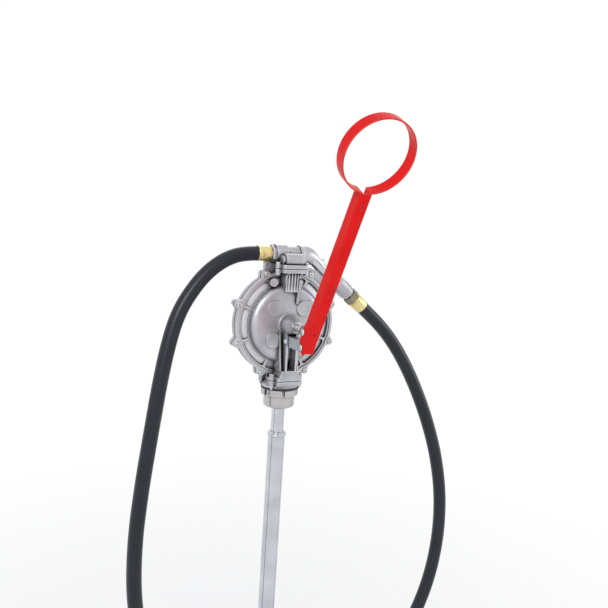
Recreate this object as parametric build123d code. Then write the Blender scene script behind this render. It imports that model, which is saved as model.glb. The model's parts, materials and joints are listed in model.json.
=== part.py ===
from build123d import *
import math
import os

# Hand-worked double diaphragm pump for lifting liquid out of a tank through its filling opening.
# Millimetres. +Z is up along the suction pipe, -Y is the lever side, -X is the hose outlet side.
# The origin is the centre of the seat under the bung's hand ring, where the tank holds the pump.
# Heights are given from the rod's axis and every piece is lifted by SHAFT_HEIGHT when it is saved.
# A depth is a distance from the joint between the two covers, towards the front or the back.

# How far two forms of one casting run into each other
JOIN = 1.0

# Round diaphragm housing
RIM_RADIUS = 99.5
FLANGE_DEPTH = 10.0
LIP_INNER_RADIUS = 94.4
LIP_DEPTH = 12.0
POCKET_RADIUS = 91.0
POCKET_INNER_RADIUS = 77.5
POCKET_DEPTH = 5.5
POCKET_CORNER = 4.0
DOME_RADIUS = 75.0
DOME_DEPTH = 23.0
DOME_DRAFT = 2.0
DOME_SHOULDER = 12.0
LUG_CIRCLE = 103.5
LUG_RADIUS = 6.2
LUG_ROOT_HALF_WIDTH = 13.0
LUG_DEPTH = 12.5
LUG_BASE = 5.0
LUG_TAPER = 1.5
LUG_ANGLES = [20.9, 63.65, 116.35, 159.1, 200.9, 243.65, 296.35, 339.1]
RADIAL_RIB_WIDTH = 4.4
PAD_RADIUS = 16.3
PAD_TOP_RADIUS = 14.3
PAD_RISE = 2.4
PAD_PLACE = 30.0
DIAPHRAGM_THICKNESS = 1.8

# Boss, gland and sliding rod
BOSS_COLLAR_RADIUS = 19.5
BOSS_COLLAR_DEPTH = 27.0
BOSS_FLARE = 2.2
BOSS_RADIUS = 17.0
BOSS_SHOULDER_DEPTH = 42.0
BOSS_NOSE_RADIUS = 12.0
BOSS_LENGTH = 56.0
GLAND_RADIUS = 11.0
GLAND_THICKNESS = 3.5
ROD_RADIUS = 6.0
RUNNING_GAP = 0.05
ROD_INNER_END = 30.0
ROD_BORE_END = 8.0
ROD_EYE_WIDTH = 11.0
ROD_EYE_RADIUS = 8.0
ROD_NUT_RADIUS = 9.0
ROD_NUT_LENGTH = 7.0
ROD_NUT_DEPTH = 84.0
REAR_CAP_RADIUS = 19.0
REAR_CAP_DEPTH = 33.0
REAR_CAP_BEVEL = 4.0

# Lever, its two pins and its link
PIN_RADIUS = 4.0
PIN_HEAD_RADIUS = 6.4
PIN_HEAD_HEIGHT = 3.2
PIN_SPACING = 29.1
PIN_LEAN = 8.9
SHAFT_PIN_DEPTH = 102.8
LEVER_LEAN = 29.0
LEVER_WIDTH = 20.6
LEVER_DEPTH = 20.4
LEVER_ROOT_DEPTH = 24.0
LEVER_SHEET = 2.3
LEVER_LENGTH = 318.0
LOWER_PIN_ALONG = 3.7
LOWER_PIN_BEHIND = 13.9
EAR_RADIUS = 8.2
LEVER_HOLE_RADIUS = 2.6
LEVER_LOW_HOLE = 42.0
LEVER_TOP_HOLE = 23.7
LEVER_SLOT_ALONG = 137.0
LEVER_SLOT_LENGTH = 24.0
LEVER_SLOT_WIDTH = 3.2
GRIP_RADIUS = 60.5
LINK_LENGTH = 60.0
LINK_HEIGHT = 19.0
LINK_SIDE_GAP = 0.3
LINK_SLOT = 1.6
SLOT_GAP = 0.35
LINK_PIN_DROP = 0.67

# Bracket on the front cover
BRACKET_RIB = 3.4
BRACKET_GAP = 0.4
BRACKET_DEPTH = 44.0
BRACKET_TOP = 8.0
BRACKET_SLOPE = 16.0
BRACKET_NECK = 4.0
BRACKET_FLOOR = 4.0
SIDE_RIB_TOE = 2.0
SIDE_RIB_PLACE = 17.5
SIDE_RIB_WIDTH = 2.6
SIDE_RIB_DEPTH = 33.0

# Ports on the covers, with the outlet and inlet castings that bridge them
PORT_FACE = 104.2
PORT_ROOT = 85.0
PORT_HALF_WIDTH = 16.0
PORT_FLANGE_HALF_WIDTH = 24.0
PORT_DEPTH = 42.0
PORT_FLANGE_HEIGHT = 6.6
PORT_RIB_ROOT = 62.0
PORT_NEAR = 9.0
PORT_FLARE = 3.0
BOLT_PLACE = 28.6
BOLT_DEPTH = 24.5
BOLT_BOSS_RADIUS = 5.2
BOLT_BOSS_DROP = 4.5
CHEST_HALF_WIDTH = 13.5
CHEST_DEPTH = 31.0
CHEST_RIBS = 4
CHEST_RIB_PITCH = 6.0
CHEST_RIB_WIDTH = 2.0
CHEST_RIB_RISE = 2.2
GUSSET_WIDTH = 3.4
GUSSET_TOE = 5.0
ROUND_BOSS_RADIUS = 7.6
ROUND_BOSS_DEPTH = 20.0
ROUND_BOSS_PLACE = (-32.5, 78.0)
PORT_GASKET = 1.6
MANIFOLD_RADIUS = 15.0
MANIFOLD_AXIS = 130.0
MANIFOLD_LEFT = -28.0
MANIFOLD_RIGHT = 28.0
LEFT_COLLAR_RADIUS = 18.3
LEFT_COLLAR_END = -5.0
RIGHT_COLLAR_START = 22.0
BARREL_RADIUS = 13.5
BARREL_DEPTH = 25.0
BARREL_RISE = 7.0
BARREL_HALF_LENGTH = 17.5
BARREL_CAP_RADIUS = 9.5
BARREL_CAP_LENGTH = 5.0
TOP_BOSS_RISE = 1.1
WEB_THICKNESS = 6.0
WEB_CLEARANCE = 0.4
WEB_REACH = 42.0
WEB_LOW = 60.0
WEB_START = 20.6
TAB_END = 47.0
TAB_SLOT_PLACE = 41.5
TAB_SLOT_WIDTH = 3.6
TAB_SLOT_HEIGHT = 8.5
VENT_RIB_PLACE = 14.5
VENT_RIB_RADIUS = 3.2
VENT_RIB_BOTTOM = 41.0
VENT_RIB_LEAN = 11.0

# Suction side
BOWL_RADIUS = 35.4
BOWL_DEPTH = 9.1
BOTTOM_BOSS_RISE = 4.1
BUNG_GASKET_RADIUS = 36.2
BUNG_GASKET_THICKNESS = 4.0
HAND_RING_RADIUS = 35.8
HAND_RING_HEIGHT = 11.5
HAND_RING_PADS = 6
HAND_RING_NOTCH = 5.6
HAND_RING_NOTCH_DEPTH = 3.6
HAND_RING_TURN = 18.4
BUNG_RADIUS = 30.2
BUNG_LENGTH = 25.0
BUNG_EDGE = 6.0
BUNG_SPIGOT_RADIUS = 27.0
PIPE_RADIUS = 12.7
PIPE_WALL = 1.6
PIPE_LENGTH = 400.0
PIPE_GRIP = 30.0
LOWER_TUBE_RADIUS = 16.5
LOWER_TUBE_WALL = 1.5
LOWER_TUBE_TOP = 222.5
LOWER_TUBE_LENGTH = 400.0
TUBE_NUT_RADIUS = 18.5
TUBE_NUT_HEIGHT = 10.0
FOOT_LENGTH = 26.0
FOOT_RADIUS = 19.0

# Hose, its ends and the parked spout
HOSE_RADIUS = 13.5
FERRULE_RADIUS = 14.6
FERRULE_LENGTH = 26.5
FERRULE_GRIP = 22.0
OUTLET_NUT_ACROSS = 30.0
OUTLET_NUT_LENGTH = 7.5
SPOUT_CORNER = 43.5
SPOUT_SLOPE = 38.0
ELBOW_RADIUS = 17.5
ELBOW_MOUTH_RADIUS = 12.9
ELBOW_BEND = 29.4
ELBOW_SPOUT_SIDE = 14.0
TONGUE_RADIUS = 12.5
TONGUE_LENGTH = 19.0
TONGUE_TIP = 15.5
TONGUE_TIP_WIDTH = 4.8
SPOUT_TUBE_RADIUS = 10.7
SPOUT_TUBE_WALL = 1.6
SPOUT_SOCKET_DEPTH = 12.0
SPOUT_TUBE_SHOWN = 67.0
FITTING_LENGTH = 41.9
FITTING_RADIUS = 15.8
COLLAR_LENGTH = 14.0
COLLAR_ACROSS = 28.0
FITTING_END_RADIUS = 12.6
FITTING_DOME = 14.0

# Corners of the hose's route, from the outlet ferrule down round the loop to the spout ferrule
HOSE_ROUTE = [
    (-84.1, 0.0, 130.0),
    (-126.7, -0.2, 117.6),
    (-164.0, -1.3, 93.7),
    (-193.1, -3.3, 60.5),
    (-211.2, -6.1, 21.7),
    (-223.6, -9.9, -28.9),
    (-235.4, -14.7, -92.6),
    (-249.7, -19.6, -180.5),
    (-264.7, -22.0, -286.2),
    (-273.9, -22.0, -388.4),
    (-272.1, -22.0, -494.4),
    (-252.1, -22.0, -598.8),
    (-208.1, -22.0, -696.9),
    (-138.5, -22.0, -778.5),
    (-46.1, -22.0, -834.4),
    (59.8, -22.0, -855.9),
    (166.5, -22.0, -840.0),
    (262.0, -22.0, -789.2),
    (336.3, -22.0, -710.9),
    (384.4, -22.0, -614.6),
    (406.0, -22.0, -509.2),
    (403.6, -22.0, -401.9),
    (383.3, -19.6, -305.4),
    (356.8, -14.7, -228.5),
    (329.5, -9.9, -166.9),
    (303.5, -6.1, -118.0),
    (279.3, -3.3, -79.0),
    (253.0, -1.3, -43.9),
    (224.5, -0.2, -13.5),
    (194.3, 0.0, 12.4),
]

PARTS = "parts"

PIN_INNER_GAP = LEVER_WIDTH - 2 * LEVER_SHEET
LINK_WIDTH = PIN_INNER_GAP - 2 * LINK_SIDE_GAP
RIB_INNER = LINK_WIDTH / 2 + BRACKET_GAP
LEAN = math.radians(PIN_LEAN)
FULCRUM_Y = -SHAFT_PIN_DEPTH + PIN_SPACING * math.sin(LEAN)
FULCRUM_Z = -PIN_SPACING * math.cos(LEAN)
LINK_PIN_Y = FULCRUM_Y + LINK_LENGTH
LINK_PIN_Z = FULCRUM_Z - LINK_PIN_DROP
PORT_FLANGE_LOW = PORT_FACE - PORT_FLANGE_HEIGHT
PLATE_TOP = PORT_FACE + PORT_GASKET + PORT_FLANGE_HEIGHT
SHAFT_HEIGHT = PLATE_TOP + BOWL_DEPTH + BUNG_GASKET_THICKNESS + HAND_RING_HEIGHT
SEAT_Z = -SHAFT_HEIGHT
BARREL_HEIGHT = PLATE_TOP + BARREL_RISE
GASKET_LOW = SEAT_Z + HAND_RING_HEIGHT
GASKET_TOP = GASKET_LOW + BUNG_GASKET_THICKNESS
SPOUT_AXIS = Location((SPOUT_CORNER, 0, MANIFOLD_AXIS), (0, 90 + SPOUT_SLOPE, 0))
SPOUT_FERRULE_END = ELBOW_SPOUT_SIDE + SPOUT_TUBE_SHOWN + FITTING_LENGTH + COLLAR_LENGTH + FERRULE_LENGTH


def save(name, shape, expected=1):
    """Lift one piece to its height over the seat and write it as its own STEP file."""
    shape = Pos(0, 0, SHAFT_HEIGHT) * shape
    shape.label = name
    export_step(shape, os.path.join(PARTS, name + ".step"))
    count = len(shape.solids())
    note = "" if count == expected else "  expected " + str(expected)
    print(f"{name:20s} solids {count} volume {shape.volume / 1000:8.2f} cm3{note}")


def forward_disc(radius, near, far, x=0.0, z=0.0):
    """A cylinder along Y, from depth near to depth far in front of the joint between the covers."""
    return Pos(x, -(near + far) / 2, z) * Rot(90, 0, 0) * Cylinder(radius, abs(far - near))


def cross_pin(radius, half_length, y, z):
    """A cylinder along X, centred on the middle plane."""
    return Pos(0, y, z) * Rot(0, 90, 0) * Cylinder(radius, 2 * half_length)


def block(x_low, x_high, y_low, y_high, z_low, z_high):
    """A box between two corners."""
    centre = Pos((x_low + x_high) / 2, (y_low + y_high) / 2, (z_low + z_high) / 2)
    return centre * Box(x_high - x_low, y_high - y_low, z_high - z_low)


def turned_forward(points):
    """Revolve an outline of (radius, depth) points about the rod's axis."""
    outline = Polyline(*[(radius, -depth) for radius, depth in points], close=True)
    return revolve(make_face(outline), Axis.Y)


def turned_upright(points):
    """Revolve an outline of (radius, height) points about the suction pipe's axis."""
    outline = Polyline(*[(radius, 0, height) for radius, height in points], close=True)
    return revolve(make_face(outline), Axis.Z)


def forward_prism(points, near, far):
    """Push an outline of (x, z) points from depth near to depth far."""
    outline = Polyline(*[(x, -near, z) for x, z in points], close=True)
    return extrude(make_face(outline), far - near, dir=(0, -1, 0))


def sideways_prism(points, x_low, x_high):
    """Push an outline of (depth, z) points from x_low to x_high."""
    outline = Polyline(*[(x_low, -depth, z) for depth, z in points], close=True)
    return extrude(make_face(outline), x_high - x_low, dir=(1, 0, 0))


def hexagon(across, length):
    """A hexagonal bar standing on the XY plane, with its size across flats."""
    return extrude(RegularPolygon(across / 2, 6, major_radius=False), length)


def cover_shell():
    """The turned form that both covers share: flange, lip and dome with a round shoulder."""
    face = make_face(
        Polyline(
            (0, -DIAPHRAGM_THICKNESS),
            (RIM_RADIUS, -DIAPHRAGM_THICKNESS),
            (RIM_RADIUS, -LIP_DEPTH),
            (LIP_INNER_RADIUS, -LIP_DEPTH),
            (LIP_INNER_RADIUS, -FLANGE_DEPTH),
            (DOME_RADIUS, -FLANGE_DEPTH),
            (DOME_RADIUS - DOME_DRAFT, -DOME_DEPTH),
            (0, -DOME_DEPTH),
            close=True,
        )
    )
    corner = face.vertices().sort_by_distance((DOME_RADIUS - DOME_DRAFT, -DOME_DEPTH, 0))[0]
    return revolve(fillet(corner, DOME_SHOULDER), Axis.Y)


def ear_outline(angle, inset=0.0):
    """The outline of a lug: a small circle on the bolt circle and a broad root on the rim."""
    tip = LUG_RADIUS - inset
    root = LUG_ROOT_HALF_WIDTH - inset
    base = RIM_RADIUS - LUG_BASE
    end = LUG_CIRCLE + LUG_TAPER
    half = math.sqrt(tip**2 - LUG_TAPER**2)
    taper = make_face(Polyline((base, -root), (end, -half), (end, half), (base, root), close=True))
    outline = taper + Pos(LUG_CIRCLE, 0) * Circle(tip)
    return Rot(0, 0, angle) * outline


def ears(near, far, inset=0.0):
    """All the lugs of one cover or diaphragm, from depth near to depth far."""
    outline = ear_outline(LUG_ANGLES[0], inset)
    for angle in LUG_ANGLES[1:]:
        outline += ear_outline(angle, inset)
    return extrude(Plane.XZ.offset(near) * outline, far - near)


def pockets():
    """The shallow pockets round the dome, parted by the radial ribs and rounded in their corners."""
    field = Circle(POCKET_RADIUS) - Circle(POCKET_INNER_RADIUS)
    rib = Pos(LUG_CIRCLE, 0) * Rectangle(2 * (LUG_CIRCLE - DOME_RADIUS), RADIAL_RIB_WIDTH)
    for angle in LUG_ANGLES:
        field -= Rot(0, 0, angle) * rib
    field = fillet(field.vertices(), POCKET_CORNER)
    return extrude(Plane.XZ.offset(POCKET_DEPTH) * field, FLANGE_DEPTH - POCKET_DEPTH + 1)


def bolt_bosses(z_low, z_high, front):
    """The two upright bolt bosses beside a port."""
    middle = (z_low + z_high) / 2
    round_bar = Cylinder(BOLT_BOSS_RADIUS, z_high - z_low)
    left = Pos(-BOLT_PLACE, front * BOLT_DEPTH, middle) * round_bar
    return left + Pos(BOLT_PLACE, front * BOLT_DEPTH, middle) * round_bar


def boss_ears(z_low, z_high, front):
    """A bar across a port's flange that carries its two bolt bosses."""
    y_low = front * BOLT_DEPTH - BOLT_BOSS_RADIUS
    y_high = front * BOLT_DEPTH + BOLT_BOSS_RADIUS
    return block(-BOLT_PLACE, BOLT_PLACE, y_low, y_high, z_low, z_high)


def bottom_port():
    """The port under the dome: a solid block that flares to its flange, with two bolt bosses."""
    right = [
        (PORT_HALF_WIDTH, -PORT_ROOT),
        (PORT_FLANGE_HALF_WIDTH - PORT_FLARE, -PORT_FLANGE_LOW),
        (PORT_FLANGE_HALF_WIDTH, -PORT_FLANGE_LOW),
        (PORT_FLANGE_HALF_WIDTH, -PORT_FACE),
    ]
    left = [(-x, z) for x, z in reversed(right)]
    shape = forward_prism(right + left, PORT_NEAR, PORT_DEPTH)
    shape += boss_ears(-PORT_FACE, -PORT_FLANGE_LOW, -1)
    shape += bolt_bosses(-PORT_FACE, -PORT_FLANGE_LOW + BOLT_BOSS_DROP, -1)
    for side in (-1, 1):
        shape += gusset(side * CHEST_HALF_WIDTH, -1)
    return shape


def gusset(x, side):
    """A sloping gusset from the dome's face up to a port's flange, above or below the dome."""
    outline = [
        (PORT_NEAR, PORT_RIB_ROOT),
        (DOME_DEPTH, PORT_RIB_ROOT),
        (CHEST_DEPTH + CHEST_RIB_RISE, PORT_FLANGE_LOW - GUSSET_TOE),
        (PORT_DEPTH, PORT_FLANGE_LOW),
        (PORT_DEPTH, PORT_FLANGE_LOW + JOIN),
        (PORT_NEAR, PORT_FLANGE_LOW + JOIN),
    ]
    outline = [(depth, side * z) for depth, z in outline]
    return sideways_prism(outline, x - GUSSET_WIDTH / 2, x + GUSSET_WIDTH / 2)


def top_port():
    """The port over the dome: a flange on a ribbed valve chest between two gussets."""
    half = PORT_FLANGE_HALF_WIDTH
    chest = CHEST_HALF_WIDTH
    top = PORT_FLANGE_LOW + JOIN
    shape = block(-half, half, -PORT_DEPTH, -PORT_NEAR, PORT_FLANGE_LOW, PORT_FACE)
    shape += block(-chest, chest, -CHEST_DEPTH, -PORT_NEAR, PORT_RIB_ROOT, top)
    for number in range(CHEST_RIBS):
        x_low = (number - (CHEST_RIBS - 1) / 2) * CHEST_RIB_PITCH - CHEST_RIB_WIDTH / 2
        x_high = x_low + CHEST_RIB_WIDTH
        shape += block(x_low, x_high, -CHEST_DEPTH - CHEST_RIB_RISE, -CHEST_DEPTH + JOIN, DOME_RADIUS, top)
    for side in (-1, 1):
        shape += gusset(side * CHEST_HALF_WIDTH, 1)
    shape += boss_ears(PORT_FLANGE_LOW, PORT_FACE, -1)
    return shape + bolt_bosses(PORT_FLANGE_LOW - BOLT_BOSS_DROP, PORT_FACE, -1)


def pad(x, z):
    """A low round pad on the dome's face, with a drafted side."""
    start = Plane.XZ.offset(DOME_DEPTH - JOIN) * Pos(x, z) * Circle(PAD_RADIUS)
    end = Plane.XZ.offset(DOME_DEPTH + PAD_RISE) * Pos(x, z) * Circle(PAD_TOP_RADIUS)
    return loft([start, end])


def plain_cover():
    """A cover with its lugs, radial ribs, round pads and both ports."""
    cover = cover_shell() + ears(DIAPHRAGM_THICKNESS, LUG_DEPTH) - pockets()
    for x in (-PAD_PLACE, PAD_PLACE):
        for z in (-PAD_PLACE, PAD_PLACE):
            cover += pad(x, z)
    return cover + top_port() + bottom_port()


def boss():
    """The stepped and tapered boss that guides the rod, flared where it leaves the dome."""
    outline = [
        (0, DOME_DEPTH - JOIN),
        (BOSS_COLLAR_RADIUS + BOSS_FLARE, DOME_DEPTH - JOIN),
        (BOSS_COLLAR_RADIUS + BOSS_FLARE, DOME_DEPTH),
        (BOSS_COLLAR_RADIUS, DOME_DEPTH + BOSS_FLARE),
        (BOSS_COLLAR_RADIUS, BOSS_COLLAR_DEPTH),
        (BOSS_RADIUS, BOSS_COLLAR_DEPTH),
        (BOSS_RADIUS, BOSS_SHOULDER_DEPTH),
        (BOSS_NOSE_RADIUS, BOSS_LENGTH),
        (0, BOSS_LENGTH),
    ]
    return turned_forward(outline)


def bracket():
    """Two upright ribs that carry the link's fixed pin, and two thin ribs beside them."""
    shape = None
    near = DOME_DEPTH - JOIN
    for side in (-1, 1):
        outline = [
            (near, -BRACKET_TOP),
            (BOSS_SHOULDER_DEPTH - BRACKET_NECK, -BRACKET_TOP),
            (BRACKET_DEPTH, -BRACKET_TOP - BRACKET_SLOPE),
            (BRACKET_DEPTH, -PORT_ROOT - JOIN),
            (near, -PORT_ROOT - JOIN),
        ]
        x_low, x_high = sorted((side * RIB_INNER, side * (RIB_INNER + BRACKET_RIB)))
        rib = sideways_prism(outline, x_low, x_high)
        middle = side * SIDE_RIB_PLACE
        thin = [
            (near, -BRACKET_TOP),
            (near + SIDE_RIB_TOE, -BRACKET_TOP),
            (SIDE_RIB_DEPTH, -PORT_RIB_ROOT),
            (SIDE_RIB_DEPTH + 2 * SIDE_RIB_TOE, -PORT_ROOT - JOIN),
            (POCKET_DEPTH, -PORT_ROOT - JOIN),
            (POCKET_DEPTH, -PORT_RIB_ROOT),
        ]
        rib += sideways_prism(thin, middle - SIDE_RIB_WIDTH / 2, middle + SIDE_RIB_WIDTH / 2)
        shape = rib if shape is None else shape + rib
    return shape


def vent_rib():
    """The raised passage that leans down the dome from the top port's right gusset."""
    length = (PORT_ROOT - VENT_RIB_BOTTOM) / math.cos(math.radians(VENT_RIB_LEAN))
    rod = Pos(0, 0, length / 2) * Cylinder(VENT_RIB_RADIUS, length) + Sphere(VENT_RIB_RADIUS)
    foot = Pos(VENT_RIB_PLACE, -DOME_DEPTH - VENT_RIB_RADIUS + JOIN, VENT_RIB_BOTTOM)
    return foot * Rot(VENT_RIB_LEAN, 0, 0) * rod


def round_boss():
    """The plain round boss in the pocket left of the top port."""
    x, z = ROUND_BOSS_PLACE
    return forward_disc(ROUND_BOSS_RADIUS, POCKET_DEPTH - JOIN, ROUND_BOSS_DEPTH, x, z)


def front_cover():
    """The lever-side cover with boss, bracket and vent passage."""
    cover = plain_cover() + boss() + bracket() + vent_rib() + round_boss()
    floor = -PORT_ROOT + BRACKET_FLOOR
    cover -= block(-RIB_INNER, RIB_INNER, -BRACKET_DEPTH - 1, -DOME_DEPTH, floor, -BOSS_RADIUS - JOIN)
    cover -= forward_disc(ROD_RADIUS + RUNNING_GAP, ROD_BORE_END, BOSS_LENGTH + 1)
    cover -= cross_pin(PIN_RADIUS + RUNNING_GAP, RIB_INNER + BRACKET_RIB + 1, LINK_PIN_Y, LINK_PIN_Z)
    return cover


def rear_cover():
    """The back cover: the same casting with a closed cap over the rod's end."""
    cover = plain_cover()
    cover += turned_forward(
        [
            (0, DOME_DEPTH - JOIN),
            (REAR_CAP_RADIUS, DOME_DEPTH - JOIN),
            (REAR_CAP_RADIUS, REAR_CAP_DEPTH - REAR_CAP_BEVEL),
            (REAR_CAP_RADIUS - REAR_CAP_BEVEL, REAR_CAP_DEPTH),
            (0, REAR_CAP_DEPTH),
        ]
    )
    return mirror(cover, Plane.XZ)


def diaphragm(near, far):
    """One rubber diaphragm, whose edge shows between the covers."""
    return forward_disc(RIM_RADIUS - 0.5, near, far) + ears(near, far, 0.5)


def shaft_gland():
    """The ring that closes the boss round the rod."""
    ring = forward_disc(GLAND_RADIUS, BOSS_LENGTH, BOSS_LENGTH + GLAND_THICKNESS)
    return ring - forward_disc(ROD_RADIUS + RUNNING_GAP, BOSS_LENGTH - 1, BOSS_LENGTH + GLAND_THICKNESS + 1)


def rod():
    """The sliding rod with its flattened eye for the lever's upper pin."""
    shape = forward_disc(ROD_RADIUS, ROD_INNER_END, SHAFT_PIN_DEPTH - ROD_EYE_RADIUS)
    eye = cross_pin(ROD_EYE_RADIUS, ROD_EYE_WIDTH / 2, -SHAFT_PIN_DEPTH, 0)
    half = ROD_EYE_WIDTH / 2
    neck_depth = SHAFT_PIN_DEPTH - 2 * ROD_EYE_RADIUS
    eye += block(-half, half, -SHAFT_PIN_DEPTH, -neck_depth, -ROD_RADIUS, ROD_RADIUS)
    shape += eye
    return shape - cross_pin(PIN_RADIUS + RUNNING_GAP, half + 1, -SHAFT_PIN_DEPTH, 0)


def rod_nut():
    """The lock nut behind the rod's eye."""
    nut = hexagon(2 * ROD_NUT_RADIUS * math.cos(math.pi / 6), ROD_NUT_LENGTH)
    nut = Pos(0, -ROD_NUT_DEPTH + ROD_NUT_LENGTH, 0) * Rot(90, 0, 0) * nut
    return nut - forward_disc(ROD_RADIUS + RUNNING_GAP, ROD_NUT_DEPTH - ROD_NUT_LENGTH - 1, ROD_NUT_DEPTH + 1)


def lever_pin(y, z):
    """A headed pin across the lever's ears, with a round end on the far side."""
    half = LEVER_WIDTH / 2
    shape = cross_pin(PIN_RADIUS, half, y, z)
    for side in (-1, 1):
        middle = side * (half + PIN_HEAD_HEIGHT / 2)
        shape += Pos(middle, y, z) * Rot(0, 90, 0) * Cylinder(PIN_HEAD_RADIUS, PIN_HEAD_HEIGHT)
    return shape


def bracket_pin():
    """The link's fixed pin through the bracket's ribs, with a head outside each rib."""
    half = RIB_INNER + BRACKET_RIB
    shape = cross_pin(PIN_RADIUS, half, LINK_PIN_Y, LINK_PIN_Z)
    for side in (-1, 1):
        middle = side * (half + PIN_HEAD_HEIGHT / 2)
        head = Rot(0, 90, 0) * Cylinder(PIN_HEAD_RADIUS - 1, PIN_HEAD_HEIGHT)
        shape += Pos(middle, LINK_PIN_Y, LINK_PIN_Z) * head
    return shape


def link():
    """The grey bar between the fixed pin and the lever's lower pin."""
    half = LINK_WIDTH / 2
    bar = cross_pin(LINK_HEIGHT / 2, half, FULCRUM_Y, FULCRUM_Z)
    bar += cross_pin(LINK_HEIGHT / 2, half, LINK_PIN_Y, FULCRUM_Z)
    low, high = FULCRUM_Z - LINK_HEIGHT / 2, FULCRUM_Z + LINK_HEIGHT / 2
    bar += block(-half, half, FULCRUM_Y, LINK_PIN_Y, low, high)
    hole = PIN_RADIUS + RUNNING_GAP
    bar -= cross_pin(hole, half + 1, FULCRUM_Y, FULCRUM_Z)
    wide = PIN_RADIUS + SLOT_GAP
    low, high = FULCRUM_Z - LINK_SLOT / 2, FULCRUM_Z + LINK_SLOT / 2
    for height in (low, high):
        bar -= cross_pin(wide, half + 1, LINK_PIN_Y, height)
    return bar - block(-half - 1, half + 1, LINK_PIN_Y - wide, LINK_PIN_Y + wide, low, high)


def in_lever_frame(shape):
    """Stand a lever piece, drawn with its length along Z and its front face on Y = 0, in its place."""
    lean = math.radians(LEVER_LEAN)
    foot_y = FULCRUM_Y + LOWER_PIN_ALONG * math.sin(lean) - LOWER_PIN_BEHIND * math.cos(lean)
    foot_z = FULCRUM_Z - LOWER_PIN_ALONG * math.cos(lean) - LOWER_PIN_BEHIND * math.sin(lean)
    return Pos(0, foot_y, foot_z) * Rot(LEVER_LEAN, 0, 0) * shape


def upper_pin_in_lever():
    """Where the upper pin lies along the lever and behind its front face."""
    turn = math.radians(LEVER_LEAN - PIN_LEAN)
    along = LOWER_PIN_ALONG + PIN_SPACING * math.cos(turn)
    behind = LOWER_PIN_BEHIND + PIN_SPACING * math.sin(turn)
    return along, behind


def lever_channel():
    """The folded sheet channel of the lever, with ears round its two pins."""
    along, behind = upper_pin_in_lever()
    half = LEVER_WIDTH / 2
    side = [
        (0, -3),
        (LOWER_PIN_BEHIND - 6, -3),
        (LOWER_PIN_BEHIND, LOWER_PIN_ALONG - EAR_RADIUS),
        (LOWER_PIN_BEHIND + EAR_RADIUS, LOWER_PIN_ALONG),
        (behind + 2, along - EAR_RADIUS),
        (behind + EAR_RADIUS, along),
        (behind + 3, along + EAR_RADIUS),
        (LEVER_ROOT_DEPTH, along + EAR_RADIUS + 14),
        (LEVER_DEPTH, LEVER_LENGTH),
        (0, LEVER_LENGTH),
    ]
    face = make_face(Polyline(*[(-half, depth, height) for depth, height in side], close=True))
    top = along + EAR_RADIUS + 1
    corners = face.vertices().filter_by(lambda corner: corner.Y > LOWER_PIN_BEHIND - 1 and corner.Z < top)
    plate = extrude(fillet(corners, 3.0), LEVER_SHEET, dir=(1, 0, 0))
    channel = plate + mirror(plate, Plane.YZ)
    channel += block(-half, half, 0, LEVER_SHEET, 0, LEVER_LENGTH)
    long_edges = channel.edges().filter_by(Axis.Z).filter_by(lambda edge: edge.length > LEVER_LENGTH / 2)
    folds = long_edges.filter_by(lambda edge: edge.center().Y < 0.1)
    channel = fillet(folds, LEVER_SHEET * 0.8)
    hole = Rot(90, 0, 0) * Cylinder(LEVER_HOLE_RADIUS, 2 * LEVER_SHEET)
    for height in (LEVER_LOW_HOLE, LEVER_LENGTH - LEVER_TOP_HOLE):
        channel -= Pos(0, LEVER_SHEET / 2, height) * hole
    slot = Box(LEVER_SLOT_WIDTH, 2 * LEVER_SHEET, LEVER_SLOT_LENGTH)
    channel -= Pos(3.5, LEVER_SHEET / 2, LEVER_SLOT_ALONG) * slot
    channel = in_lever_frame(channel)
    channel -= cross_pin(PIN_RADIUS, half + 1, FULCRUM_Y, FULCRUM_Z)
    return channel - cross_pin(PIN_RADIUS, half + 1, -SHAFT_PIN_DEPTH, 0)


def lever_grip():
    """The hand ring, bent from the two sides of the channel."""
    middle = LEVER_LENGTH + math.sqrt(GRIP_RADIUS**2 - (LEVER_WIDTH / 2) ** 2)
    ring = Cylinder(GRIP_RADIUS, LEVER_DEPTH) - Cylinder(GRIP_RADIUS - LEVER_SHEET, LEVER_DEPTH + 2)
    ring = Pos(0, LEVER_DEPTH / 2, middle) * Rot(90, 0, 0) * ring
    inside = LEVER_WIDTH / 2 - LEVER_SHEET
    low = LEVER_LENGTH - LEVER_WIDTH
    high = LEVER_LENGTH + LEVER_WIDTH
    ring -= block(-inside, inside, -1, LEVER_DEPTH + 1, low, high)
    ring -= block(-GRIP_RADIUS, GRIP_RADIUS, -1, LEVER_DEPTH + 1, low, LEVER_LENGTH)
    return in_lever_frame(ring)


def port_plate(side):
    """The plate that sits on both covers' ports and bridges the rim between them."""
    low = PORT_FACE + PORT_GASKET
    high = low + PORT_FLANGE_HEIGHT
    z_low, z_high = sorted((side * low, side * high))
    half = PORT_FLANGE_HALF_WIDTH
    plate = block(-half, half, -PORT_DEPTH, PORT_DEPTH, z_low, z_high)
    return fillet(plate.edges().filter_by(Axis.Z), 5)


def port_gasket(side, front):
    """The thin gasket between one port and the plate on it."""
    z_low, z_high = sorted((side * PORT_FACE, side * (PORT_FACE + PORT_GASKET)))
    y_low, y_high = sorted((front * (FLANGE_DEPTH - 1), front * (PORT_DEPTH - 0.6)))
    half = PORT_FLANGE_HALF_WIDTH - 0.6
    return block(-half, half, y_low, y_high, z_low, z_high)


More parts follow.
